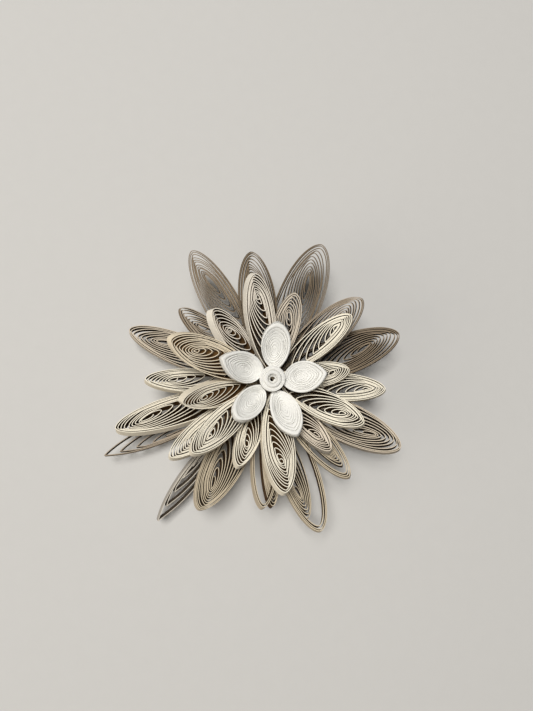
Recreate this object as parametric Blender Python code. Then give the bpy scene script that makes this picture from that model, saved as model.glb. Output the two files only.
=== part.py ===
"""Quilled paper chrysanthemum.

Thirty petals, each one narrow strip of kraft paper that is coiled, let loose and pinched to a point,
stand in rows round a paper roll on a coiled base. Five dense white coils and a white button lie on top.
Z runs from the base to the face of the flower, and the origin is under the middle of the base.
"""
import math
from collections import namedtuple

import bmesh
import bpy
from mathutils import Vector

MM = 0.001

# Paper strip
STRIP_WIDTH = 3.0 * MM
STRIP_THICKNESS = 0.25 * MM
TURN_GAP = 0.25 * MM
TURN_PITCH = STRIP_THICKNESS + TURN_GAP

# Clearances
GAP = 0.3 * MM
ROW_ROOM = 1.0 * MM
WHITE_ROOM = 2.2 * MM

# Base and hub
BASE_RADIUS = 11.0 * MM
BASE_HEIGHT = STRIP_WIDTH
HUB_RADIUS = 3.1 * MM
ROUND_SIDES = 28
HUB_SIDES = 18

# Size of a petal in each row
LOOSE_LENGTH = 43.0 * MM
LOOSE_WIDTH = 7.0 * MM
BACK_LENGTH = 43.0 * MM
BACK_WIDTH = 12.0 * MM
MIDDLE_LENGTH = 34.5 * MM
MIDDLE_WIDTH = 9.0 * MM
SMALL_LENGTH = 24.5 * MM
SMALL_WIDTH = 7.5 * MM
FRONT_LENGTH = 29.0 * MM
FRONT_WIDTH = 9.0 * MM

# White flower
WHITE_LENGTH = 15.0 * MM
WHITE_WIDTH = 9.5 * MM
WHITE_HEIGHT = 2.6 * MM
WHITE_SEAT = 2.8 * MM
WHITE_EYE = 0.40
WHITE_HUB_POINT = 1.2
CUP_DEPTH = 1.5 * MM
RIM_ROUNDING = 0.5 * MM
WHITE_SIDES = 18
BUTTON_RADIUS = 3.85 * MM
BUTTON_HEIGHT = 2.6 * MM
BUTTON_SIDES = 18

# Coil form: the size of the eye in a petal, how a loop narrows to its two points, how fast the hub
# corners of the loops close up on the eye and how near to the petal's flanks the corners lie
EYE_LENGTH = 3.6 * MM
EYE_HALF_WIDTH = 0.9 * MM
EYE_TURN = math.radians(45)
WIDEST_SHIFT = 0.13
HUB_POINT = 1.6
TIP_POINT = 1.2
LOOSE_TIP_POINT = 2.0
EYE_POINT = 1.1
HUB_CLOSING = 1.1
TURN_REACH = 0.9
# Segments in each half turn, from the outer end of the strip to the eye
HALF_TURNS = (7, 6, 6, 5, 5, 4, 4, 3)
TURNS = len(HALF_TURNS) / 2

# Levels of the seats, from the base up
LOOSE_LEVEL = 2.4 * MM
BACK_LEVEL = BASE_HEIGHT + GAP + STRIP_WIDTH / 2
MIDDLE_LEVEL = BACK_LEVEL + STRIP_WIDTH + ROW_ROOM
SMALL_LEVEL = MIDDLE_LEVEL + STRIP_WIDTH + ROW_ROOM
FRONT_LEVEL = SMALL_LEVEL + STRIP_WIDTH + ROW_ROOM
WHITE_LEVEL = FRONT_LEVEL + STRIP_WIDTH / 2 + WHITE_ROOM + WHITE_HEIGHT / 2

# A coil whose inner turns have slipped: how far they are pitched back and swung aside in degrees, and
# the shares of their length and width that they keep
Slip = namedtuple("Slip", "pitch swing keeps narrows")

# A petal as it differs from its row: its bearing round the hub, its length and width as shares of the
# row's, then lift of the tip, roll of the left edge and lean off the bearing, all angles in degrees, the
# place of its eye and the side that its turns are pulled to
Petal = namedtuple("Petal", "bearing long wide lift roll lean eye pull slip", defaults=(0.74, 0, None))

BACK_PETALS = (
    Petal(119.8, 1.035, 0.95, 18, -5, 1, 0.76),
    Petal(74.3, 1.015, 1.18, 21, -5, -6),
    Petal(22.5, 0.95, 1.04, 18, -5, -3),
    Petal(-25, 0.98, 1.03, 19, -6, -3, 0.77),
    Petal(-74, 1.03, 1.00, 18, -3, 2, slip=Slip(8, -3, 0.94, 0.82)),
    Petal(-118, 0.95, 1.00, 20, -5, -2, 0.72),
    Petal(-163, 1.05, 0.83, 11, 20, 0),
    Petal(160.8, 1.00, 0.83, 8, 5, -2),
)
MIDDLE_PETALS = (
    Petal(98.5, 1.085, 1.28, 21, -2, 0),
    Petal(44, 1.03, 1.25, 23, -3, -3),
    Petal(-2, 0.945, 0.97, 19, -3, -3, 0.76),
    Petal(-49, 1.00, 1.00, 21, 2, -3, slip=Slip(6, 1, 0.94, 0.77)),
    Petal(-92, 1.02, 0.89, 22, -8, -3, slip=Slip(8, 6, 1.0, 0.8)),
    Petal(-143, 1.01, 0.94, 20, 8, 0),
    Petal(-179, 1.00, 0.83, 13, 11, -2),
    Petal(141.2, 0.94, 0.85, 18, 2, 0, 0.72),
)
SMALL_PETALS = (
    Petal(74, 1.02, 1.07, 20, 2, 0, 0.72),
    Petal(7.5, 0.87, 1.00, 18, -2, 0, 0.72),
    Petal(-50, 1.01, 0.93, 22, -3, -1, 0.72),
    Petal(-113.7, 1.02, 0.93, 24, -3, 2, 0.70),
    Petal(-169.3, 1.05, 1.00, 28, -22, 3, 0.68),
    Petal(132, 1.04, 1.13, 25, 24, -1, 0.66),
)
FRONT_PETALS = (
    Petal(102, 1.00, 0.97, 22, 14, -2, 0.68),
    Petal(41, 0.95, 0.89, 18, -5, -3, 0.76),
    Petal(-23, 0.925, 0.94, 20, -2, -4),
    Petal(-86.2, 1.045, 1.03, 23, -8, 1, 0.68),
    Petal(-140.5, 1.00, 0.94, 23, 3, 3, 0.66),
    Petal(159, 1.05, 1.11, 30, -7, 1, 0.62),
)
# Two back petals that came off the hub, lie under the others and have few turns left
LOOSE_PETALS = (
    Petal(-133, 1.03, 1.00, 6, -14, 5, 0.45, 1),
    Petal(-152, 1.06, 0.95, 8, 6, -6, 0.45, -1),
)

# A white petal: bearing, length and width as shares of the flower's, lift of the tip in degrees, how
# pointed the tip is and where the petal is widest
WhitePetal = namedtuple("WhitePetal", "bearing long wide lift tip_point widest_shift")

WHITE_PETALS = (
    WhitePetal(85, 1.03, 0.99, 24, 1.2, 0.06),
    WhitePetal(6, 0.97, 1.06, 20, 1.55, -0.05),
    WhitePetal(-67, 1.11, 0.96, 22, 1.45, 0.04),
    WhitePetal(-132.5, 0.98, 0.91, 24, 1.15, 0.06),
    WhitePetal(159, 1.04, 1.03, 28, 1.55, -0.10),
)


def make_material(name, colour, roughness):
    material = bpy.data.materials.new(name)
    material.use_nodes = True
    shader = material.node_tree.nodes["Principled BSDF"]
    shader.inputs["Base Color"].default_value = (*colour, 1.0)
    shader.inputs["Roughness"].default_value = roughness
    shader.inputs["Metallic"].default_value = 0.0
    return material


def add_object(name, bm, material, parent):
    """Turns a finished bmesh into an object with outward faces."""
    bmesh.ops.recalc_face_normals(bm, faces=bm.faces)
    mesh = bpy.data.meshes.new(name)
    bm.to_mesh(mesh)
    bm.free()
    mesh.materials.append(material)
    mesh.shade_smooth()
    mesh.set_sharp_from_angle(angle=math.radians(40))
    obj = bpy.data.objects.new(name, mesh)
    bpy.context.collection.objects.link(obj)
    obj.parent = parent
    return obj


def lens_point(half_length, half_width, turn_angle, widest_shift, point_power):
    """A point on a pointed loop that starts at its hub end and runs round its right side first."""
    c = math.cos(turn_angle)
    s = math.sin(turn_angle)
    along = -c + widest_shift * (1 - c * c)
    across = -math.copysign(abs(s) ** point_power, s)
    return Vector((half_length * along, half_width * across))


def mixed_power(hub_point, tip_point, turn_angle):
    """How pointed a loop is, which changes from its hub end to its tip."""
    return hub_point + (tip_point - hub_point) * (1 - math.cos(turn_angle)) / 2


def flank_width(part):
    """Half width of a petal's outline at a part of its length, as a share of the widest."""
    along = 2 * min(max(part, 0.0), 1.0) - 1
    c = (math.sqrt(1 + 4 * WIDEST_SHIFT * (WIDEST_SHIFT - along)) - 1) / (2 * WIDEST_SHIFT)
    return max(1 - c * c, 0.0) ** ((HUB_POINT + TIP_POINT) / 4)


def smooth_step(x):
    x = min(max(x, 0.0), 1.0)
    return x * x * (3 - 2 * x)


def loop_corners(petal, length, width, turn):
    """Hub corner of a loop, which lies at the right flank, and its tip corner at the left one."""
    share = turn / TURNS
    free = max(0.0, (turn - 1) / (TURNS - 1))
    loose = smooth_step(turn - 1)
    eye = petal.eye * length
    eye_along = EYE_LENGTH / 2 * math.cos(EYE_TURN)
    eye_across = EYE_LENGTH / 2 * math.sin(EYE_TURN)
    hub_x = (eye - eye_along) * (share if petal.pull else (1 - (1 - free) ** HUB_CLOSING) * loose)
    tip_x = length - (length - eye - eye_along) * share
    spread = width / 2 - TURN_PITCH + (eye_across - width / 2 + TURN_PITCH) * free
    corners = []
    for x, side in ((hub_x, -1), (tip_x, 1)):
        room = width / 2 * flank_width(x / length) - TURN_PITCH * turn
        reach = 0.0 if petal.pull else loose * TURN_REACH * max(min(room, spread), 0.0)
        corners.append(Vector((x, side * reach)))
    return corners


def loop_point(petal, length, width, turn):
    """Where the strip would lie if its turns did not touch."""
    turn_angle = 2 * math.pi * turn
    share = turn / TURNS
    hub_corner, tip_corner = loop_corners(petal, length, width, turn)
    half_width = width / 2 + (EYE_HALF_WIDTH - width / 2) * share
    tip_point = LOOSE_TIP_POINT if petal.pull else TIP_POINT
    power = mixed_power(HUB_POINT, tip_point, turn_angle)
    if not petal.pull:
        power += (EYE_POINT - power) * share
    span = tip_corner - hub_corner
    point = lens_point(span.length / 2, half_width, turn_angle, WIDEST_SHIFT * (1 - share), power)
    lean = math.atan2(span.y, span.x)
    point = Vector((
        point.x * math.cos(lean) - point.y * math.sin(lean),
        point.x * math.sin(lean) + point.y * math.cos(lean),
    ))
    return point + (hub_corner + tip_corner) / 2 - Vector((0.0, petal.pull * width / 2 * share))


def slipped(petal, point, turn):
    """Moves a point of the inner turns aside and gives how far it drops behind the outer ones."""
    amount = smooth_step((turn - 1) * 5)
    if petal.slip is None or amount == 0.0:
        return point, 0.0
    swing = math.radians(petal.slip.swing) * amount
    x = point.x * (1 - (1 - petal.slip.keeps) * amount)
    y = point.y * (1 - (1 - petal.slip.narrows) * amount)
    moved = Vector((
        x * math.cos(swing) - y * math.sin(swing),
        x * math.sin(swing) + y * math.cos(swing),
    ))
    return moved, moved.x * math.sin(math.radians(petal.slip.pitch) * amount)


def keep_inside(turn, point, distance):
    """Moves the point inwards until it lies at least distance inside the turn that is around it."""
    nearest = None
    for start, end in zip(turn, turn[1:]):
        edge = end - start
        t = min(max((point - start).dot(edge) / edge.length_squared, 0.0), 1.0)
        foot = start + edge * t
        offset = point - foot
        if nearest is None or offset.length < nearest[1].length:
            inward = Vector((-edge.y, edge.x)).normalized()
            nearest = (foot, offset, inward)
    foot, offset, inward = nearest
    if offset.dot(inward) < 0:
        return foot + inward * distance
    if offset.length < distance:
        return foot + offset.normalized() * distance
    return point


def coil_path(petal, length, width):
    """Middle line of a petal's strip, as points in its plane and how far each drops behind it."""
    flat = []
    path = []
    steps = [(half, k / count, count) for half, count in enumerate(HALF_TURNS) for k in range(count)]
    steps.append((len(HALF_TURNS), 0.0, HALF_TURNS[-1]))
    for half, part, count in steps:
        turn = (half + part) / 2
        point, drop = slipped(petal, loop_point(petal, length, width, turn), turn)
        around = flat[-3 * count:len(flat) - count + 2]
        if len(around) > 2 and drop < STRIP_WIDTH + GAP:
            for _ in range(3):
                point = keep_inside(around, point, TURN_PITCH)
        flat.append(point)
        path.append((point, drop))
    return path


def strip_mesh(path, thickness, width):
    """Closed ribbon that stands on its edge along the path."""
    bm = bmesh.new()
    sections = []
    for i, (point, drop) in enumerate(path):
        before = (point - path[i - 1][0]).normalized() if i > 0 else None
        after = (path[i + 1][0] - point).normalized() if i < len(path) - 1 else None
        before = before or after
        after = after or before
        direction = (before + after).normalized()
        normal = Vector((-direction.y, direction.x))
        reach = thickness / 2 / max(normal.dot(Vector((-before.y, before.x))), 0.6)
        section = []
        for side, edge in ((-1, -1), (1, -1), (1, 1), (-1, 1)):
            corner = point + normal * reach * side
            section.append(bm.verts.new((corner.x, corner.y, edge * width / 2 - drop)))
        sections.append(section)
    for first, second in zip(sections, sections[1:]):
        for k in range(4):
            bm.faces.new((first[k], first[(k + 1) % 4], second[(k + 1) % 4], second[k]))
    bm.faces.new(sections[0])
    bm.faces.new(sections[-1])
    return bm


def place_petal(obj, seat_radius, level, bearing, lift, roll=0, lean=0):
    around = math.radians(bearing)
    obj.location = (seat_radius * math.cos(around), seat_radius * math.sin(around), level)
    obj.rotation_euler = (math.radians(roll), -math.radians(lift), around + math.radians(lean))


def seat_radius(petal, carrier_radius):
    """Distance at which the upper corner of a lifted petal just clears what carries it."""
    return carrier_radius + GAP + STRIP_WIDTH / 2 * math.sin(math.radians(petal.lift))


def add_row(name, petals, length, width, level, carrier_radius, material, parent):
    for number, petal in enumerate(petals, 1):
        path = coil_path(petal, petal.long * length, petal.wide * width)
        bm = strip_mesh(path, STRIP_THICKNESS, STRIP_WIDTH)
        obj = add_object(f"{name}_{number}", bm, material, parent)
        seat = seat_radius(petal, carrier_radius)
        place_petal(obj, seat, level, petal.bearing, petal.lift, petal.roll, petal.lean)


def bridge(bm, lower, upper):
    count = len(lower)
    for k in range(count):
        bm.faces.new((lower[k], lower[(k + 1) % count], upper[(k + 1) % count], upper[k]))


def cap(bm, ring, centre):
    middle = bm.verts.new(centre)
    for k in range(len(ring)):
        bm.faces.new((ring[k], ring[(k + 1) % len(ring)], middle))


def white_petal_mesh(petal):
    """Dense coil with a raised rim, whose turns sink towards its eye."""
    half_length = petal.long * WHITE_LENGTH / 2
    half_width = petal.wide * WHITE_WIDTH / 2
    top = WHITE_HEIGHT / 2
    middle = Vector((half_length, 0.0))
    eye = Vector((2 * WHITE_EYE * half_length, 0.0))
    # Each ring: its size as a share of the outline, and its height
    rings = (
        (1.0, -top),
        (1.0, top - RIM_ROUNDING),
        (0.86, top),
        (0.66, top - 0.45 * CUP_DEPTH),
        (0.42, top - 0.8 * CUP_DEPTH),
        (0.18, top - CUP_DEPTH),
    )
    bm = bmesh.new()
    loops = []
    for size, height in rings:
        loop = []
        for k in range(WHITE_SIDES):
            angle = 2 * math.pi * k / WHITE_SIDES
            power = mixed_power(WHITE_HUB_POINT, petal.tip_point, angle)
            edge = lens_point(half_length, half_width, angle, petal.widest_shift, power) + middle
            point = eye + (edge - eye) * size
            loop.append(bm.verts.new((point.x, point.y, height)))
        loops.append(loop)
    for lower, upper in zip(loops, loops[1:]):
        bridge(bm, lower, upper)
    cap(bm, loops[0], (eye.x, eye.y, -top))
    cap(bm, loops[-1], (eye.x, eye.y, top - CUP_DEPTH))
    return bm


def add_white_petals(material, parent):
    for number, petal in enumerate(WHITE_PETALS, 1):
        obj = add_object(f"white_petal_{number}", white_petal_mesh(petal), material, parent)
        place_petal(obj, WHITE_SEAT, WHITE_LEVEL, petal.bearing, petal.lift)


def button_bottom():
    """Height at which the button clears the steepest white petal under its edge."""
    steepest = math.radians(max(petal.lift for petal in WHITE_PETALS))
    rise = (BUTTON_RADIUS - WHITE_SEAT) * math.tan(steepest)
    return WHITE_LEVEL + WHITE_HEIGHT / 2 / math.cos(steepest) + rise + GAP


def hub_top():
    """Height at which the hub roll clears the lowest corner of the flattest white petal."""
    flattest = math.radians(min(petal.lift for petal in WHITE_PETALS))
    return WHITE_LEVEL - WHITE_HEIGHT / 2 * math.cos(flattest) - GAP


def add_button(material, parent):
    """Wide coil with a smaller ring raised on it and a cupped hole in the middle."""
    # Each ring: share of the radius and share of the height
    profile = (
        (0.90, 0.0), (1.0, 0.18), (1.0, 0.56), (0.88, 0.78), (0.70, 0.78),
        (0.64, 0.94), (0.48, 1.0), (0.36, 0.9), (0.30, 0.5), (0.22, 0.3),
    )
    bm = bmesh.new()
    loops = []
    for radius, height in profile:
        loop = []
        for k in range(BUTTON_SIDES):
            angle = 2 * math.pi * k / BUTTON_SIDES
            x = radius * BUTTON_RADIUS * math.cos(angle)
            y = radius * BUTTON_RADIUS * math.sin(angle)
            loop.append(bm.verts.new((x, y, height * BUTTON_HEIGHT)))
        loops.append(loop)
    for lower, upper in zip(loops, loops[1:]):
        bridge(bm, lower, upper)
    cap(bm, loops[0], (0.0, 0.0, 0.0))
    cap(bm, loops[-1], (0.0, 0.0, profile[-1][1] * BUTTON_HEIGHT))
    obj = add_object("white_button", bm, material, parent)
    obj.location = (0.0, 0.0, button_bottom())


def add_cylinder(name, radius, bottom, top, sides, material, parent):
    bm = bmesh.new()
    bmesh.ops.create_cone(
        bm, cap_ends=True, segments=sides, radius1=radius, radius2=radius, depth=top - bottom
    )
    obj = add_object(name, bm, material, parent)
    obj.location = (0.0, 0.0, (top + bottom) / 2)


def main():
    for obj in list(bpy.data.objects):
        bpy.data.objects.remove(obj, do_unlink=True)
    flower = bpy.data.objects.new("flower", None)
    bpy.context.collection.objects.link(flower)
    back = make_material("kraft_back", (0.42, 0.33, 0.24), 0.85)
    middle = make_material("kraft_middle", (0.55, 0.45, 0.33), 0.85)
    front = make_material("kraft_front", (0.72, 0.62, 0.47), 0.85)
    white = make_material("white_paper", (0.88, 0.86, 0.82), 0.9)
    add_cylinder("base_coil", BASE_RADIUS, 0.0, BASE_HEIGHT, ROUND_SIDES, back, flower)
    add_cylinder("hub_roll", HUB_RADIUS, BASE_HEIGHT + GAP, hub_top(), HUB_SIDES, back, flower)
    rows = (
        ("loose_petal", LOOSE_PETALS, LOOSE_LENGTH, LOOSE_WIDTH, LOOSE_LEVEL, BASE_RADIUS, back),
        ("back_petal", BACK_PETALS, BACK_LENGTH, BACK_WIDTH, BACK_LEVEL, HUB_RADIUS, back),
        ("middle_petal", MIDDLE_PETALS, MIDDLE_LENGTH, MIDDLE_WIDTH, MIDDLE_LEVEL, HUB_RADIUS, middle),
        ("small_petal", SMALL_PETALS, SMALL_LENGTH, SMALL_WIDTH, SMALL_LEVEL, HUB_RADIUS, front),
        ("front_petal", FRONT_PETALS, FRONT_LENGTH, FRONT_WIDTH, FRONT_LEVEL, HUB_RADIUS, front),
    )
    for name, petals, length, width, level, carrier_radius, material in rows:
        add_row(name, petals, length, width, level, carrier_radius, material, flower)
    add_white_petals(white, flower)
    add_button(white, flower)


main()
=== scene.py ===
"""Looks of the quilled paper chrysanthemum: every strip is coiled turn by turn on the solids' places."""

import math
from collections import namedtuple

import bpy
import numpy as np
from mathutils import Euler, Matrix, Vector


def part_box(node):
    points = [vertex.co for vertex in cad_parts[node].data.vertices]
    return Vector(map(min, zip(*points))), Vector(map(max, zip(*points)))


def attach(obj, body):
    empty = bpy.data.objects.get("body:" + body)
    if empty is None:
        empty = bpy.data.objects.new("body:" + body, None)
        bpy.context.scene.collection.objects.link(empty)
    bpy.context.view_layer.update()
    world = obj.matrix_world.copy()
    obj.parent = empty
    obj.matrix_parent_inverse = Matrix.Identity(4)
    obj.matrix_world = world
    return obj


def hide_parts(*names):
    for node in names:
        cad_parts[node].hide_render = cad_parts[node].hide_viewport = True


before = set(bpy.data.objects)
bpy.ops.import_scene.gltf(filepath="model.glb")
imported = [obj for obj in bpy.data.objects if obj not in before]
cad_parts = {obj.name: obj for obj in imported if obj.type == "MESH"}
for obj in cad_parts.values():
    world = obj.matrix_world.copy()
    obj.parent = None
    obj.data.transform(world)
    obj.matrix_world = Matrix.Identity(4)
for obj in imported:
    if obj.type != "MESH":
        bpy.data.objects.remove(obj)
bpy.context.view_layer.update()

MM = 0.001

# Sizes of the solids that the strips follow
STRIP_WIDTH = 3.0 * MM
GAP = 0.3 * MM
ROW_ROOM = 1.0 * MM
WHITE_ROOM = 2.2 * MM
BASE_RADIUS = 11.0 * MM
BASE_HEIGHT = STRIP_WIDTH
HUB_RADIUS = 3.1 * MM
LOOSE_LEVEL = 2.4 * MM
BACK_LEVEL = BASE_HEIGHT + GAP + STRIP_WIDTH / 2
MIDDLE_LEVEL = BACK_LEVEL + STRIP_WIDTH + ROW_ROOM
SMALL_LEVEL = MIDDLE_LEVEL + STRIP_WIDTH + ROW_ROOM
FRONT_LEVEL = SMALL_LEVEL + STRIP_WIDTH + ROW_ROOM
WHITE_LENGTH = 15.0 * MM
WHITE_WIDTH = 9.5 * MM
WHITE_HEIGHT = 2.6 * MM
WHITE_SEAT = 2.8 * MM
WHITE_LEVEL = FRONT_LEVEL + STRIP_WIDTH / 2 + WHITE_ROOM + WHITE_HEIGHT / 2
WHITE_EYE = 0.40
CUP_DEPTH = 1.5 * MM
BUTTON_RADIUS = 3.85 * MM

# Outline of a petal, as in the solids
WIDEST_SHIFT = 0.13
HUB_POINT = 1.6
TIP_POINT = 1.2
LOOSE_TIP_POINT = 2.0
EYE_POINT = 1.1
WHITE_HUB_POINT = 1.2

# Paper as it is seen here
PAPER = 0.22 * MM
ROLL_PITCH = 0.28 * MM
LOOSE_PITCH = 0.27 * MM
EYE_HALF_WIDTH = 0.5 * MM
TURN_SEGMENTS_OUTSIDE = 46
TURN_SEGMENTS_INSIDE = 26
# The outermost turns lie tight together, and so do those round the eye. Where turns are squeezed at a
# flank they touch in groups, with an open line of this width every so many turns. Then how fast the hub
# corners of the turns close up on the eye, and how near to the flanks the corners lie
TIGHT_TURNS = 2
EYE_TURNS = 2
TIGHT_PITCH = 0.27 * MM
EYE_PITCH = 0.33 * MM
TOUCHING_PITCH = 0.24 * MM
OPEN_LINE = 0.30 * MM
TURNS_IN_GROUP = 2.4
HUB_CLOSING = 1.1
TURN_REACH = 0.95
# How far the corners wander from turn to turn as shares of the length, how far the edges stand proud or
# sink, the least and most in mm that the eye stands out, and the share of the way in where all this is
# at its full amount
HUB_WANDER = 0.008
TIP_WANDER = 0.004
EDGE_WANDER = 0.1 * MM
EYE_RISE = (-0.1, 0.3)
WANDER_FULL_AT = 0.25
# Half turns back between which a point's outer neighbours are sought, and how often it is moved inside
LOOK_BACK = (2.7, 0.7)
KEEP_INSIDE_PASSES = 3
# Part of a turn over which a coil slips
SLIP_TURN = 0.2

# White petals: turns, segments of a turn, depth of the grooves between turns, then as shares of the
# petal's size the inner edge of its rim and the outer and inner edge of its last turn, and how its cup
# curves and how far its rim is rounded down
WHITE_TURNS = 9
WHITE_SEGMENTS = 84
WHITE_GROOVE = 0.30 * MM
WHITE_RIM = 0.80
CLOSED_EYE = (0.012, 0.004)
CUP_CURVE = 0.8
RIM_ROUNDING = 0.3 * MM
# Button: turns, segments of a turn, depth of the grooves, and its open eye as a share of its size
BUTTON_TURNS = 8
BUTTON_SEGMENTS = 64
BUTTON_GROOVE = 0.07 * MM
BUTTON_EYE = 0.12
# Share of a white coil's size from which its outer edge is rounded, and the angle in degrees above which
# an edge in it stays sharp
ROUNDED_FROM = 0.9
WHITE_SHARP_ANGLE = 60

# Hidden rolls: radius of the hole in the middle, segments of the outermost and innermost turns, and how
# far turns sink
HUB_HOLE = 0.4 * MM
BASE_HOLE = 0.6 * MM
ROLL_SEGMENTS = 64
ROLL_SEGMENTS_INSIDE = 16
ROLL_WANDER = 0.05 * MM

# A coil whose inner turns have slipped: how far they are pitched back and swung aside in degrees, and
# the shares of their length and width that they keep
Slip = namedtuple("Slip", "pitch swing keeps narrows")

# A petal as in the solids, then what is only seen here: number of turns, how many of them reach the hub,
# place of the eye along the petal, its length in mm, share of the way to the hub over which the inner
# turns fan out, how far the eye is turned in degrees, side that the turns are pulled to, paper, a random
# seed, and how the coil has slipped, if it has
Petal = namedtuple(
    "Petal",
    "bearing long wide lift roll lean turns packed eye eye_long fan swirl pull paper seed slip",
    defaults=(None,),
)
Row = namedtuple("Row", "name length width level carrier_radius tip_point slot petals")

# The back and upper petals with the umber and dark papers are painted in shade
ROWS = (
    Row("back_petal", 43.0 * MM, 12.0 * MM, BACK_LEVEL, HUB_RADIUS, TIP_POINT, "kraft_back", (
        Petal(119.8, 1.035, 0.95, 18, -5, 1, 12, 2, 0.75, 5.5, 0.80, 22, 0, "shaded_umber", 1),
        Petal(74.3, 1.015, 1.18, 21, -5, -6, 12, 3, 0.71, 5.5, 0.80, 22, 0, "shaded_dark", 5),
        Petal(22.5, 0.95, 1.04, 18, -5, -3, 11, 2, 0.71, 4.5, 0.92, 25, 0, "shaded_umber", 8),
        Petal(-25, 0.98, 1.03, 19, -6, -3, 9, 2, 0.76, 4.0, 0.85, 30, 0, "fawn", 12),
        Petal(-74, 1.03, 1.00, 18, -3, 2, 10, 3, 0.74, 4, 0.9, 25, 0, "gold", 15, Slip(8, -3, 0.94, 0.82)),
        Petal(-118, 0.95, 1.00, 20, -5, -2, 11, 2, 0.79, 4.0, 0.90, 25, 0, "gold", 19),
        Petal(-163, 1.05, 0.83, 11, 20, 0, 9, 1, 0.78, 4.0, 0.85, 30, 0, "cream", 22),
        Petal(160.8, 1.00, 0.83, 8, 5, -2, 9, 1, 0.73, 4.5, 0.88, 25, 0, "fawn", 28),
    )),
    Row("middle_petal", 34.5 * MM, 9.0 * MM, MIDDLE_LEVEL, HUB_RADIUS, TIP_POINT, "kraft_middle", (
        Petal(98.5, 1.085, 1.28, 21, -2, 0, 12, 3, 0.74, 3.0, 0.94, 35, 0, "shaded_dark", 2),
        Petal(44, 1.03, 1.25, 23, -3, -3, 10, 2, 0.74, 3.5, 0.92, 35, 0, "tan", 6),
        Petal(-2, 0.945, 0.97, 19, -3, -3, 9, 1, 0.83, 3.0, 0.90, 40, 0, "cream", 10),
        Petal(-49, 1.00, 1.00, 21, 2, -3, 9, 3, 0.74, 3, 0.9, 30, 0, "gold", 14, Slip(6, 1, 0.94, 0.77)),
        Petal(-92, 1.02, 0.89, 22, -8, -3, 9, 2, 0.74, 3, 0.9, 30, 0, "gold", 17, Slip(8, 6, 1.0, 0.8)),
        Petal(-143, 1.01, 0.94, 20, 8, 0, 9, 1, 0.77, 2.8, 0.95, 60, 0, "cream", 24),
        Petal(-179, 1.00, 0.83, 13, 11, -2, 8, 1, 0.75, 3.0, 0.85, 40, 0, "cream", 26),
        Petal(141.2, 0.94, 0.85, 18, 2, 0, 8, 1, 0.72, 3.0, 0.88, 40, 0, "tan", 29),
    )),
    Row("small_petal", 24.5 * MM, 7.5 * MM, SMALL_LEVEL, HUB_RADIUS, TIP_POINT, "kraft_front", (
        Petal(74, 1.02, 1.07, 20, 2, 0, 8, 1, 0.71, 2.6, 0.92, 50, 0, "mellow", 4),
        Petal(7.5, 0.87, 1.00, 18, -2, 0, 8, 1, 0.74, 2.2, 0.92, 50, 0, "cream", 9),
        Petal(-50, 1.01, 0.93, 22, -3, -1, 8, 1, 0.75, 2.2, 0.92, 50, 0, "mellow", 13),
        Petal(-113.7, 1.02, 0.93, 24, -3, 2, 8, 1, 0.70, 2.4, 0.92, 60, 0, "cream", 18),
        Petal(-169.3, 1.05, 1.00, 28, -22, 3, 8, 1, 0.72, 2.4, 0.92, 60, 0, "cream", 25),
        Petal(132, 1.04, 1.13, 25, 24, -1, 8, 1, 0.68, 2.6, 0.95, 85, 0, "pale", 30),
    )),
    Row("front_petal", 29.0 * MM, 9.0 * MM, FRONT_LEVEL, HUB_RADIUS, TIP_POINT, "kraft_front", (
        Petal(102, 1.00, 0.97, 22, 14, -2, 10, 1, 0.76, 2.4, 0.95, 80, 0, "pale", 3),
        Petal(41, 0.95, 0.89, 18, -5, -3, 9, 1, 0.79, 3.0, 0.95, 60, 0, "cream", 7),
        Petal(-23, 0.925, 0.94, 20, -2, -4, 9, 1, 0.74, 3.0, 0.95, 60, 0, "cream", 11),
        Petal(-86.2, 1.045, 1.03, 23, -8, 1, 11, 1, 0.70, 2.8, 0.95, 78, 0, "cream", 16),
        Petal(-140.5, 1.00, 0.94, 23, 3, 3, 10, 1, 0.76, 2.8, 0.95, 75, 0, "cream", 23),
        Petal(159, 1.05, 1.11, 30, -7, 1, 10, 1, 0.73, 3.4, 0.95, 75, 0, "honey", 27),
    )),
    Row("loose_petal", 43.0 * MM, 7.0 * MM, LOOSE_LEVEL, BASE_RADIUS, LOOSE_TIP_POINT, "kraft_back", (
        Petal(-133, 1.03, 1.00, 6, -14, 5, 5, 0, 0.45, 2.0, 1.0, 0, 1.0, "slate", 20),
        Petal(-152, 1.06, 0.95, 8, 6, -6, 5, 0, 0.45, 2.0, 1.0, 0, -1.0, "tan", 21),
    )),
)

# A white petal: bearing, length and width as shares of the flower's, lift of the tip in degrees, how
# pointed the tip is and where the petal is widest
WhitePetal = namedtuple("WhitePetal", "bearing long wide lift tip_point widest_shift seed")

WHITE_PETALS = (
    WhitePetal(85, 1.03, 0.99, 24, 1.2, 0.06, 41),
    WhitePetal(6, 0.97, 1.06, 20, 1.55, -0.05, 42),
    WhitePetal(-67, 1.11, 0.96, 22, 1.45, 0.04, 43),
    WhitePetal(-132.5, 0.98, 0.91, 24, 1.15, 0.06, 44),
    WhitePetal(159, 1.04, 1.03, 28, 1.55, -0.10, 45),
)
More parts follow.
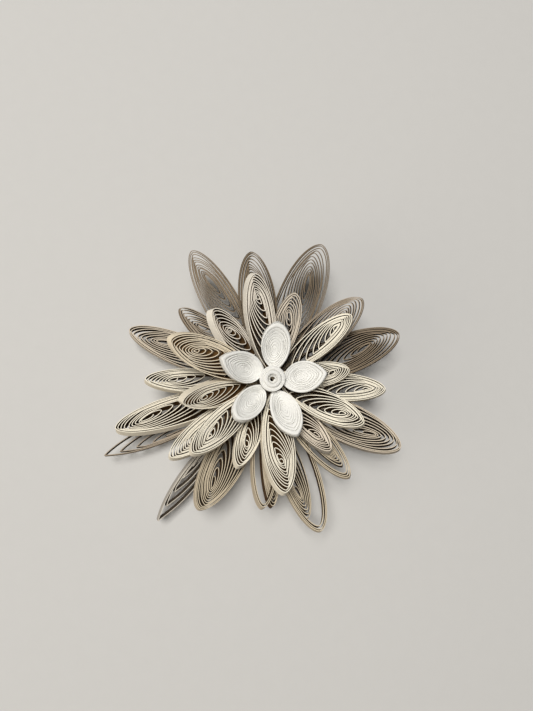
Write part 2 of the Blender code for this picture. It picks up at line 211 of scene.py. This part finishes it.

# Linear colours: outside of the coil, faces of its inner turns, and cut edges. The inner faces are painted
# shade, far darker and browner than the outside, for the shade deep between the turns; the cut edges are
# painted highlight, lighter than the outside where light catches them
PAPERS = {
    # The umber and dark papers are the kraft in painted shade, for the back and upper petals that lay in
    # shade; the tan, fawn and gold papers mix the paper's own tone with painted shade
    "shaded_umber": ((0.14, 0.10, 0.062), (0.020, 0.011, 0.005), (0.27, 0.21, 0.145)),
    "shaded_dark": ((0.11, 0.082, 0.051), (0.018, 0.010, 0.004), (0.22, 0.17, 0.115)),
    "slate": ((0.40, 0.37, 0.33), (0.07, 0.048, 0.028), (0.60, 0.55, 0.47)),
    "tan": ((0.26, 0.20, 0.14), (0.038, 0.020, 0.008), (0.40, 0.33, 0.25)),
    "fawn": ((0.50, 0.43, 0.34), (0.056, 0.029, 0.010), (0.64, 0.55, 0.43)),
    "mellow": ((0.58, 0.52, 0.43), (0.070, 0.037, 0.013), (0.72, 0.63, 0.51)),
    "gold": ((0.50, 0.42, 0.31), (0.066, 0.034, 0.011), (0.60, 0.51, 0.37)),
    "cream": ((0.76, 0.69, 0.56), (0.095, 0.047, 0.013), (0.91, 0.83, 0.68)),
    "honey": ((0.76, 0.66, 0.50), (0.15, 0.076, 0.020), (0.88, 0.76, 0.57)),
    "pale": ((0.77, 0.72, 0.63), (0.090, 0.046, 0.014), (0.90, 0.82, 0.70)),
    "roll": ((0.40, 0.31, 0.22), (0.30, 0.20, 0.10), (0.50, 0.42, 0.31)),
}
WHITE_COLOUR = (0.82, 0.81, 0.77)
FLOOR_COLOUR = (0.57, 0.56, 0.54)

# Scale of the fibres in the faces of a strip, in its cut edges, in white paper and in the floor's card
FACE_GRAIN = 2600.0
EDGE_GRAIN = 1200.0
WHITE_GRAIN = 1500.0
FLOOR_GRAIN = 900.0


def paper_material(name, colour, grain, contrast, bump, roughness=0.85, relief_height=0.05 * MM):
    """Matt paper: a mottled colour with fine fibres, and a soft bump where one is asked for."""
    mottle_share = 0.6
    fibre_share = 0.4
    brightest = 0.95
    material = bpy.data.materials.new(name)
    material.use_nodes = True
    nodes = material.node_tree.nodes
    links = material.node_tree.links
    shader = nodes["Principled BSDF"]
    shader.inputs["Roughness"].default_value = roughness
    shader.inputs["Specular IOR Level"].default_value = 0.2
    place = nodes.new("ShaderNodeTexCoord")
    mottle = nodes.new("ShaderNodeTexNoise")
    mottle.inputs["Scale"].default_value = 220.0
    mottle.inputs["Detail"].default_value = 3.0
    links.new(place.outputs["Object"], mottle.inputs["Vector"])
    fibre = nodes.new("ShaderNodeTexNoise")
    fibre.inputs["Scale"].default_value = grain
    fibre.inputs["Detail"].default_value = 5.0
    fibre.inputs["Roughness"].default_value = 0.65
    links.new(place.outputs["Object"], fibre.inputs["Vector"])
    weighted_fibre = nodes.new("ShaderNodeMath")
    weighted_fibre.operation = "MULTIPLY"
    weighted_fibre.inputs[1].default_value = fibre_share
    links.new(fibre.outputs["Fac"], weighted_fibre.inputs[0])
    blend = nodes.new("ShaderNodeMath")
    blend.operation = "MULTIPLY_ADD"
    blend.inputs[1].default_value = mottle_share
    links.new(mottle.outputs["Fac"], blend.inputs[0])
    links.new(weighted_fibre.outputs["Value"], blend.inputs[2])
    ramp = nodes.new("ShaderNodeValToRGB")
    ramp.color_ramp.elements[0].position = 0.3
    ramp.color_ramp.elements[0].color = (*[c * (1 - contrast) for c in colour], 1.0)
    ramp.color_ramp.elements[1].position = 0.7
    ramp.color_ramp.elements[1].color = (*[min(c * (1 + contrast), brightest) for c in colour], 1.0)
    links.new(blend.outputs["Value"], ramp.inputs["Fac"])
    links.new(ramp.outputs["Color"], shader.inputs["Base Color"])
    if bump:
        relief = nodes.new("ShaderNodeBump")
        relief.inputs["Strength"].default_value = bump
        relief.inputs["Distance"].default_value = relief_height
        links.new(fibre.outputs["Fac"], relief.inputs["Height"])
        links.new(relief.outputs["Normal"], shader.inputs["Normal"])
    return material


def lens_outline(turn_angle, widest_shift, point_power):
    """Unit loop that starts at its hub end and runs round its right side first."""
    c = np.cos(turn_angle)
    s = np.sin(turn_angle)
    return -c + widest_shift * (1 - c * c), -np.copysign(np.abs(s) ** point_power, s)


def flank_width(part):
    """Half width of a petal's outline at a part of its length, as a share of the widest."""
    along = 2 * min(max(part, 0.0), 1.0) - 1
    c = (math.sqrt(1 + 4 * WIDEST_SHIFT * (WIDEST_SHIFT - along)) - 1) / (2 * WIDEST_SHIFT)
    return max(1 - c * c, 0.0) ** ((HUB_POINT + TIP_POINT) / 4)


def wave(rng, amount):
    """Smooth random change from turn to turn."""
    phases = rng.uniform(0, 2 * math.pi, 3)
    rates = (0.35, 0.65, 1.2)
    weights = (0.5, 0.3, 0.2)
    return lambda turn: amount * sum(
        weight * math.sin(2 * math.pi * turn * rate + phase)
        for weight, rate, phase in zip(weights, rates, phases)
    )


def keep_inside(turn, point, distance):
    """Moves the point inwards until it lies at least distance inside the turn that is around it."""
    start = turn[:-1]
    edge = turn[1:] - start
    squared = (edge * edge).sum(1)
    real = squared > 1e-12
    start = start[real]
    edge = edge[real]
    t = np.clip(((point - start) * edge).sum(1) / squared[real], 0.0, 1.0)
    foot = start + edge * t[:, None]
    offset = point - foot
    length = np.hypot(offset[:, 0], offset[:, 1])
    k = int(np.argmin(length))
    inward = np.array((-edge[k, 1], edge[k, 0])) / np.hypot(*edge[k])
    if offset[k] @ inward <= 0:
        return foot[k] + inward * distance
    if length[k] < distance:
        return foot[k] + offset[k] / length[k] * distance
    return point


def smooth_step(x):
    """Rises smoothly from 0 to 1 while x goes from 0 to 1."""
    x = min(max(x, 0.0), 1.0)
    return x * x * (3 - 2 * x)


def turn_steps(turns):
    """Half turns counted from the outer end of the strip, with fewer segments in the small turns."""
    steps = []
    for half in range(turns * 2):
        share = half / (turns * 2)
        count = round(TURN_SEGMENTS_OUTSIDE + (TURN_SEGMENTS_INSIDE - TURN_SEGMENTS_OUTSIDE) * share)
        steps += [half + k / count for k in range(count)]
    return np.array(steps + [turns * 2.0])


def depth_of_turns(petal, half_outside, straight):
    """Gives the function of the turn that says how far it lies inside the petal's outline."""
    room = half_outside * flank_width(petal.eye) - EYE_HALF_WIDTH
    wide_turns = petal.turns - TIGHT_TURNS - EYE_TURNS
    wide_pitch = (room - TIGHT_TURNS * TIGHT_PITCH - EYE_TURNS * EYE_PITCH) / wide_turns

    def depth(turn):
        if straight:
            return turn * LOOSE_PITCH
        wide = min(max(turn - TIGHT_TURNS, 0.0), wide_turns)
        eye = max(turn - TIGHT_TURNS - wide_turns, 0.0)
        return min(turn, TIGHT_TURNS) * TIGHT_PITCH + wide * wide_pitch + eye * EYE_PITCH

    return depth


def slipped(slip, amount, x, y):
    """A point that has slipped by a share of the whole slip, and how far it drops behind the front."""
    swing = math.radians(slip.swing) * amount
    x *= 1 - (1 - slip.keeps) * amount
    y *= 1 - (1 - slip.narrows) * amount
    x, y = x * math.cos(swing) - y * math.sin(swing), x * math.sin(swing) + y * math.cos(swing)
    return x, y, x * math.sin(math.radians(slip.pitch) * amount)


def coil_path(petal, length, width, tip_point):
    """Middle line of a petal's strip, in its plane, and how far each point stands behind the front.

    The outer turns share the petal's outline and reach the hub. Each inner turn is a loop with its hub
    corner at the right flank and its tip corner at the left one, and the loops close up on the eye. The
    turns of a loose petal are straight and are pulled to one side.
    """
    rng = np.random.default_rng(petal.seed)
    hub_wave = wave(rng, HUB_WANDER * length)
    tip_wave = wave(rng, TIP_WANDER * length)
    rise_wave = wave(rng, EDGE_WANDER)
    cone = rng.uniform(*EYE_RISE) * MM
    half_outside = width / 2
    straight = tip_point == LOOSE_TIP_POINT
    reach = 0.0 if straight else TURN_REACH
    depth = depth_of_turns(petal, half_outside, straight)
    inner_turns = petal.turns - petal.packed
    first_room = half_outside - depth(petal.packed)
    eye_turn = math.radians(petal.swirl)
    eye_along = petal.eye_long * MM / 2 * math.cos(eye_turn)
    eye_across = petal.eye_long * MM / 2 * math.sin(eye_turn)
    steps = turn_steps(petal.turns)
    path = np.zeros((len(steps), 2))
    drops = np.zeros(len(steps))
    for i, step in enumerate(steps):
        turn = step / 2
        share = depth(turn) / depth(petal.turns)
        free = max(0.0, (turn - petal.packed) / inner_turns)
        inner = min(share / WANDER_FULL_AT, 1.0)
        loose = smooth_step(turn - petal.packed)
        hub_x = (petal.eye * length - eye_along) * (1 - petal.fan * (1 - free) ** HUB_CLOSING) * loose
        hub_x = max(hub_x + hub_wave(turn) * inner, 0.0)
        tip_x = length - (length - petal.eye * length - eye_along) * share - tip_wave(turn) * inner
        spread = first_room + (eye_across - first_room) * free
        hub_room = half_outside * flank_width(hub_x / length) - depth(turn)
        tip_room = half_outside * flank_width(tip_x / length) - depth(turn)
        hub_y = -loose * reach * max(min(hub_room, spread), 0.0)
        tip_y = loose * reach * max(min(tip_room, spread), 0.0)
        half_length = math.hypot(tip_x - hub_x, tip_y - hub_y) / 2
        lean = math.atan2(tip_y - hub_y, tip_x - hub_x)
        half_width = half_outside + (EYE_HALF_WIDTH - half_outside) * share
        power = HUB_POINT + (tip_point - HUB_POINT) * (1 - math.cos(step * math.pi)) / 2
        if not straight:
            power += (EYE_POINT - power) * share
        along, across = lens_outline(step * math.pi, WIDEST_SHIFT * (1 - share), power)
        along *= half_length
        across *= half_width
        x = (tip_x + hub_x) / 2 + along * math.cos(lean) - across * math.sin(lean)
        y = (tip_y + hub_y) / 2 + along * math.sin(lean) + across * math.cos(lean)
        y -= petal.pull * half_outside * free
        drop = 0.0
        opening = max(math.sin(2 * math.pi * turn / TURNS_IN_GROUP + petal.seed), 0.0)
        distance = TOUCHING_PITCH + OPEN_LINE * opening * min(turn / TIGHT_TURNS, 1.0)
        if petal.slip:
            amount = smooth_step((turn - petal.packed) / SLIP_TURN)
            distance *= 1 - (1 - petal.slip.narrows) * amount
            x, y, drop = slipped(petal.slip, amount, x, y)
        point = np.array((x, y))
        first, last = (np.searchsorted(steps, step - back) for back in LOOK_BACK)
        # Where a slipped coil lies clear behind the outer turns, it needn't stay inside them
        if last - first > 2 and drop < STRIP_WIDTH + GAP:
            for _ in range(KEEP_INSIDE_PASSES):
                point = keep_inside(path[first:last], point, distance)
        path[i] = point
        drops[i] = drop - (rise_wave(turn) + cone * share) * inner
    return path, drops


def unit_rows(vectors):
    """The rows at length 1."""
    return vectors / np.maximum(np.hypot(vectors[:, 0], vectors[:, 1]), 1e-12)[:, None]


def ribbon(path, drops, thickness, width):
    """Vertices and quads of a closed strip that stands on its edge along the path.

    Quads of kind 0 and 2 are the cut edges, those of kind 1 face into the coil and of kind 3 out of it.
    """
    # Limits how far the strip's faces are pushed out at a sharp corner
    least_cosine = 0.6
    steps = unit_rows(np.diff(path, axis=0))
    before = np.vstack((steps[:1], steps))
    after = np.vstack((steps, steps[-1:]))
    direction = unit_rows(before + after)
    normal = np.column_stack((-direction[:, 1], direction[:, 0]))
    turned = np.column_stack((-before[:, 1], before[:, 0]))
    reach = thickness / 2 / np.maximum((normal * turned).sum(1), least_cosine)
    corners = []
    for side, edge in ((-1, -1), (1, -1), (1, 1), (-1, 1)):
        flat = path + normal * (reach * side)[:, None]
        corners.append(np.column_stack((flat, edge * width / 2 - drops)))
    vertices = np.stack(corners, axis=1).reshape(-1, 3)
    count = len(path)
    first = np.arange(count - 1) * 4
    quads = []
    kinds = []
    for k in range(4):
        after = (k + 1) % 4
        quads.append(np.column_stack((first + k, first + 4 + k, first + 4 + after, first + after)))
        kinds.append(np.full(count - 1, k))
    last = (count - 1) * 4
    quads.append(np.array([[0, 1, 2, 3], [last + 3, last + 2, last + 1, last]]))
    kinds.append(np.array([0, 0]))
    return vertices, np.vstack(quads), np.concatenate(kinds)


def mesh_object(name, vertices, faces, materials, slots, angle=40):
    """An object whose faces have the given material slots, smooth but for edges sharper than the angle."""
    mesh = bpy.data.meshes.new(name)
    mesh.from_pydata(vertices.tolist(), [], [list(face) for face in faces])
    for material in materials:
        mesh.materials.append(material)
    mesh.polygons.foreach_set("material_index", np.asarray(slots, dtype=np.int32))
    mesh.update()
    mesh.shade_smooth()
    mesh.set_sharp_from_angle(angle=math.radians(angle))
    obj = bpy.data.objects.new(name, mesh)
    bpy.context.collection.objects.link(obj)
    return obj


def placed(vertices, seat, level, bearing, lift, roll=0, lean=0):
    """Vertices of a petal that lies along X, turned to its place round the hub."""
    angles = (math.radians(roll), -math.radians(lift), math.radians(bearing + lean))
    turn = np.array(Euler(angles).to_matrix())
    around = math.radians(bearing)
    return vertices @ turn.T + np.array((seat * math.cos(around), seat * math.sin(around), level))


def adopt(obj, node):
    """The piece stands for a node of the solids and rides on the flower."""
    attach(obj, "root")
    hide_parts(node)


def strip_papers():
    """For each paper the materials of a coil's outside, of its inner faces, in painted shade, and of its
    cut edges, in painted highlight.
    """
    papers = {}
    for name, (outside, inside, edge) in PAPERS.items():
        papers[name] = (
            paper_material(f"{name}_paper_outside", outside, FACE_GRAIN, contrast=0.12, bump=0.35),
            paper_material(f"{name}_paper_inside", inside, FACE_GRAIN, contrast=0.16, bump=0.3),
            paper_material(f"{name}_paper_edge", edge, EDGE_GRAIN, contrast=0.07, bump=0.0),
        )
    return papers


def kraft_petals(papers):
    """The coiled petals, with the outside paper on the outward face of the outermost turn alone; all other
    faces carry the painted shade of the inside colour, and the cut edges the painted highlight of the edge
    colour.
    """
    for row in ROWS:
        for number, petal in enumerate(row.petals, 1):
            path, drops = coil_path(petal, petal.long * row.length, petal.wide * row.width, row.tip_point)
            vertices, quads, kinds = ribbon(path, drops, PAPER, STRIP_WIDTH)
            outer_turns = quads[:, 0] // 4 < TURN_SEGMENTS_OUTSIDE * 2
            # Painted shade on every face but the outermost turn's outward one, painted highlight on the
            # cut edges
            slots = np.where(kinds % 2 == 0, 2, np.where((kinds == 3) & outer_turns, 0, 1))
            seat = row.carrier_radius + GAP + STRIP_WIDTH / 2 * math.sin(math.radians(petal.lift))
            vertices = placed(vertices, seat, row.level, petal.bearing, petal.lift, petal.roll, petal.lean)
            node = f"{row.name}_{number}"
            obj = mesh_object(f"{node}_coil", vertices, quads, papers[petal.paper], slots)
            adopt(obj, node)


def dense_coil(outline, size_of, top_of, bottom_of, turns, segments, groove_of):
    """Thick soft strip whose turns touch, as vertices and faces.

    outline(angle) is its shape at full size, size_of(turn) the share of it that a turn has, top_of and
    bottom_of(size) the heights there, and groove_of(turn) the depth of the grooves beside the turn.
    """
    count = turns * segments
    turn = np.arange(count + 1) / segments
    shape = outline(2 * math.pi * turn)
    outer = size_of(turn)
    inner = size_of(turn + 1)
    # Places across the strip, and how far its rounded edge sinks there as a share of the groove
    across = (0.03, 0.1, 0.28, 0.5, 0.72, 0.9, 0.97)
    sinks = np.outer((1.0, 0.5, 0.12, 0.0, 0.12, 0.5, 1.0), groove_of(turn))
    rows = []
    for part, sink in zip(across, sinks):
        size = outer + (inner - outer) * part
        rows.append(np.column_stack((shape * size[:, None], top_of(size) - sink)))
    for part, sink in zip(across[::-1], sinks[::-1]):
        size = outer + (inner - outer) * part
        rows.append(np.column_stack((shape * size[:, None], bottom_of(size) + sink)))
    ring = len(rows)
    vertices = np.stack(rows, axis=1).reshape(-1, 3)
    first = np.arange(count) * ring
    quads = []
    for k in range(ring):
        after = (k + 1) % ring
        quads.append(np.column_stack((first + k, first + ring + k, first + ring + after, first + after)))
    faces = [list(face) for face in np.vstack(quads)]
    faces.append(list(range(ring)))
    faces.append([count * ring + k for k in range(ring)][::-1])
    return vertices, faces


def rounding(size):
    """Rises from 0 to 1 over the outer edge of a white coil."""
    return np.clip((size - ROUNDED_FROM) / (1 - ROUNDED_FROM), 0.0, 1.0)


def white_outline(petal, half_length, half_width):
    """Leaf shape round the petal's eye, rounded at the hub and pointed at the tip."""
    eye = (2 * WHITE_EYE - 1) * half_length

    def outline(angle):
        power = WHITE_HUB_POINT + (petal.tip_point - WHITE_HUB_POINT) * (1 - np.cos(angle)) / 2
        along, across = lens_outline(angle, petal.widest_shift, power)
        return np.column_stack((along * half_length - eye, across * half_width))

    return outline


def white_petals(white):
    """Dense cupped coils: a wide smooth turn makes the rim, the others sink towards the eye."""
    # The grooves' shallowest, middle and deepest share of their depth, how far that share and the turns'
    # sizes vary, and how fast each does from turn to turn
    shallowest = 0.15
    middle = 0.6
    deepest = 1.1
    groove_wander = 1.6
    size_wander = 0.045
    groove_rate = 3.1
    size_rate = 2.3

    def top_of(size):
        edge = rounding(size)
        sunk = np.clip((WHITE_RIM - size) / WHITE_RIM, 0.0, 1.0)
        cup = CUP_DEPTH * np.sin(sunk * math.pi / 2) ** CUP_CURVE
        return WHITE_HEIGHT / 2 - RIM_ROUNDING * edge ** 2 - cup

    def bottom_of(size):
        return np.full_like(size, -WHITE_HEIGHT / 2)

    for number, petal in enumerate(WHITE_PETALS, 1):
        half_length = petal.long * WHITE_LENGTH / 2
        half_width = petal.wide * WHITE_WIDTH / 2
        outline = white_outline(petal, half_length, half_width)
        rng = np.random.default_rng(petal.seed)
        worn = wave(rng, groove_wander)
        uneven = wave(rng, size_wander)

        def size_of(turn):
            even = np.interp(turn, (0, 1, WHITE_TURNS, WHITE_TURNS + 1), (1.0, WHITE_RIM, *CLOSED_EYE))
            shift = np.array([uneven(t * size_rate) for t in turn])
            # The sizes vary only well inside the rim and outside the eye
            inside_rim = np.clip((WHITE_RIM - even) * 6, 0.0, 1.0)
            outside_eye = np.clip(even * 2 - 0.1, 0.0, 1.0)
            return even + shift * inside_rim * outside_eye

        def groove_of(turn):
            share = np.clip([middle + worn(t * groove_rate) for t in turn], shallowest, deepest)
            # The grooves fade out over the last three turns
            return WHITE_GROOVE * share * np.clip((WHITE_TURNS - turn) / 3, 0.0, 1.0)

        vertices, faces = dense_coil(
            outline, size_of, top_of, bottom_of, WHITE_TURNS, WHITE_SEGMENTS, groove_of
        )
        vertices[:, 0] += 2 * WHITE_EYE * half_length
        vertices = placed(vertices, WHITE_SEAT, WHITE_LEVEL, petal.bearing, petal.lift)
        node = f"white_petal_{number}"
        slots = np.zeros(len(faces))
        obj = mesh_object(f"{node}_coil", vertices, faces, (white,), slots, WHITE_SHARP_ANGLE)
        adopt(obj, node)


def white_button(white):
    """Wide coil with a smaller ring raised on it, a cup in the middle and the coil's eye open in it."""
    low, high = (corner[2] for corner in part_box("white_button"))
    height = high - low
    # How far the underside rises at its edge, as a share of the height
    bottom_rounding = 0.12
    # Share of the radius, and height of the top there as a share of the button's
    sizes = (0.0, 0.15, 0.22, 0.29, 0.34, 0.38, 0.45, 0.56, 0.64, 0.68, 0.74, 0.88, 0.97, 1.0)
    tops = (0.06, 0.18, 0.28, 0.46, 0.74, 0.95, 1.0, 0.98, 0.86, 0.64, 0.71, 0.74, 0.62, 0.50)

    def outline(angle):
        return np.column_stack((np.cos(angle), np.sin(angle))) * BUTTON_RADIUS

    def size_of(turn):
        return 1 - (1 - BUTTON_EYE) * turn / (BUTTON_TURNS + 1)

    def top_of(size):
        return low + height * np.interp(size, sizes, tops)

    def bottom_of(size):
        return low + bottom_rounding * height * rounding(size)

    def groove_of(turn):
        return np.full_like(turn, BUTTON_GROOVE)

    vertices, faces = dense_coil(
        outline, size_of, top_of, bottom_of, BUTTON_TURNS, BUTTON_SEGMENTS, groove_of
    )
    slots = np.zeros(len(faces))
    obj = mesh_object("white_button_coil", vertices, faces, (white,), slots, WHITE_SHARP_ANGLE)
    adopt(obj, "white_button")


def round_roll(name, node, radius, hole, low, high, materials, seed):
    """A tight round roll of strip, with turns that stand a little proud of each other on top."""
    rng = np.random.default_rng(seed)
    turns = int((radius - hole) / ROLL_PITCH)
    steps = []
    for turn in range(turns):
        count = max(ROLL_SEGMENTS_INSIDE, int(ROLL_SEGMENTS * (1 - turn * ROLL_PITCH / radius)))
        steps += [turn + k / count for k in range(count)]
    turn = np.array(steps)
    distance = radius - PAPER / 2 - turn * ROLL_PITCH
    angle = 2 * math.pi * turn
    path = np.column_stack((np.cos(angle), np.sin(angle))) * distance[:, None]
    rise = wave(rng, ROLL_WANDER)
    sunk = np.repeat([min(rise(t), 0.0) for t in turn], 4)
    middle = (low + high) / 2
    vertices, quads, kinds = ribbon(path, np.full(len(path), -middle), PAPER, high - low)
    vertices[:, 2] += np.where(vertices[:, 2] > middle, sunk, 0.0)
    # Painted shade on the inward faces, painted highlight on the cut edges
    slots = np.where(kinds % 2 == 0, 2, np.where(kinds == 3, 0, 1))
    obj = mesh_object(name, vertices, quads, materials, slots)
    adopt(obj, node)


def hidden_rolls(materials):
    """The hub roll, as high as its solid, and the base coil."""
    low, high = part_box("hub_roll")
    round_roll("hub_roll_strip", "hub_roll", HUB_RADIUS, HUB_HOLE, low[2], high[2], materials, seed=61)
    round_roll("base_coil_strip", "base_coil", BASE_RADIUS, BASE_HOLE, 0, BASE_HEIGHT, materials, seed=62)


# The photograph's frame in pixels, its focal length, and where the flower's axis and the straight-down
# direction come in it
IMAGE_WIDTH = 533
IMAGE_HEIGHT = 711
FOCAL_PIXELS = 534.0
DOWN_PIXEL = (225.0, 425.0)
HUB_PIXEL = (269.2, 382.2)
HUB_PIXEL_HEIGHT = 13.9 * MM
CAMERA_DEPTH = 163.0 * MM


def pixel_ray(pixel):
    """Direction of a pixel in the camera's own axes."""
    return np.array((
        (pixel[0] - IMAGE_WIDTH / 2) / FOCAL_PIXELS,
        -(pixel[1] - IMAGE_HEIGHT / 2) / FOCAL_PIXELS,
        -1.0,
    ))


def make_camera():
    """The camera that sees the flower as the photograph does."""
    down = pixel_ray(DOWN_PIXEL)
    up = -down / np.linalg.norm(down)
    north = np.array((0.0, 1.0, 0.0)) - up * up[1]
    north /= np.linalg.norm(north)
    to_world = np.array((np.cross(north, up), north, up))
    centre = np.array((0.0, 0.0, HUB_PIXEL_HEIGHT)) - to_world @ (pixel_ray(HUB_PIXEL) * CAMERA_DEPTH)
    data = bpy.data.cameras.new("photo_camera")
    data.sensor_fit = "HORIZONTAL"
    data.sensor_width = 36.0
    data.lens = data.sensor_width * FOCAL_PIXELS / IMAGE_WIDTH
    data.clip_start = MM
    camera = bpy.data.objects.new("photo_camera", data)
    bpy.context.collection.objects.link(camera)
    matrix = Matrix([list(row) for row in to_world]).to_4x4()
    matrix.translation = centre
    camera.matrix_world = matrix
    bpy.context.scene.camera = camera


def area_light(name, place, size, power, colour):
    """Square lamp that points at the flower."""
    data = bpy.data.lights.new(name, "AREA")
    data.size = size
    data.energy = power
    data.color = colour
    light = bpy.data.objects.new(name, data)
    bpy.context.collection.objects.link(light)
    light.location = place
    light.rotation_euler = (-Vector(place)).to_track_quat("-Z", "Y").to_euler()


def make_floor():
    """Pale card just under the flower, round so that its far edge is the same from every side."""
    radius = 1.0
    sides = 96
    clearance = 0.1 * MM
    angles = [2 * math.pi * k / sides for k in range(sides)]
    corners = [(radius * math.cos(a), radius * math.sin(a), 0) for a in angles]
    mesh = bpy.data.meshes.new("floor")
    mesh.from_pydata(corners, [], [list(range(sides))])
    card = paper_material("floor_card", FLOOR_COLOUR, FLOOR_GRAIN, contrast=0.01, bump=0.03)
    mesh.materials.append(card)
    floor = bpy.data.objects.new("floor", mesh)
    bpy.context.collection.objects.link(floor)
    floor.location = (0, 0, -clearance)


def make_backdrop():
    """A world that is pale where it is seen and gives only a little light."""
    seen_strength = 0.55
    light_strength = 0.05
    world = bpy.data.worlds.new("studio")
    bpy.context.scene.world = world
    world.use_nodes = True
    nodes = world.node_tree.nodes
    background = nodes["Background"]
    background.inputs["Color"].default_value = (0.96, 0.98, 1.0, 1.0)
    seen = nodes.new("ShaderNodeLightPath")
    strength = nodes.new("ShaderNodeMath")
    strength.operation = "MULTIPLY_ADD"
    strength.inputs[1].default_value = seen_strength
    strength.inputs[2].default_value = light_strength
    world.node_tree.links.new(seen.outputs["Is Camera Ray"], strength.inputs[0])
    world.node_tree.links.new(strength.outputs["Value"], background.inputs["Strength"])


def make_studio():
    """Floor, backdrop, a small window light from above and a weak warm one from the side."""
    make_floor()
    make_backdrop()
    area_light("window", (-0.20, 0.20, 1.24), size=0.44, power=16.0, colour=(1.0, 0.985, 0.96))
    area_light("side_bounce", (-1.00, -0.40, 0.52), size=0.8, power=4.0, colour=(1.0, 0.93, 0.82))
    bpy.context.scene.view_settings.view_transform = "Standard"


make_camera()
papers = strip_papers()
kraft_petals(papers)
white_paper = paper_material(
    "soft_white_paper", WHITE_COLOUR, WHITE_GRAIN,
    contrast=0.06, bump=1.0, roughness=0.95, relief_height=0.22 * MM,
)
white_petals(white_paper)
white_button(white_paper)
hidden_rolls(papers["roll"])
make_studio()
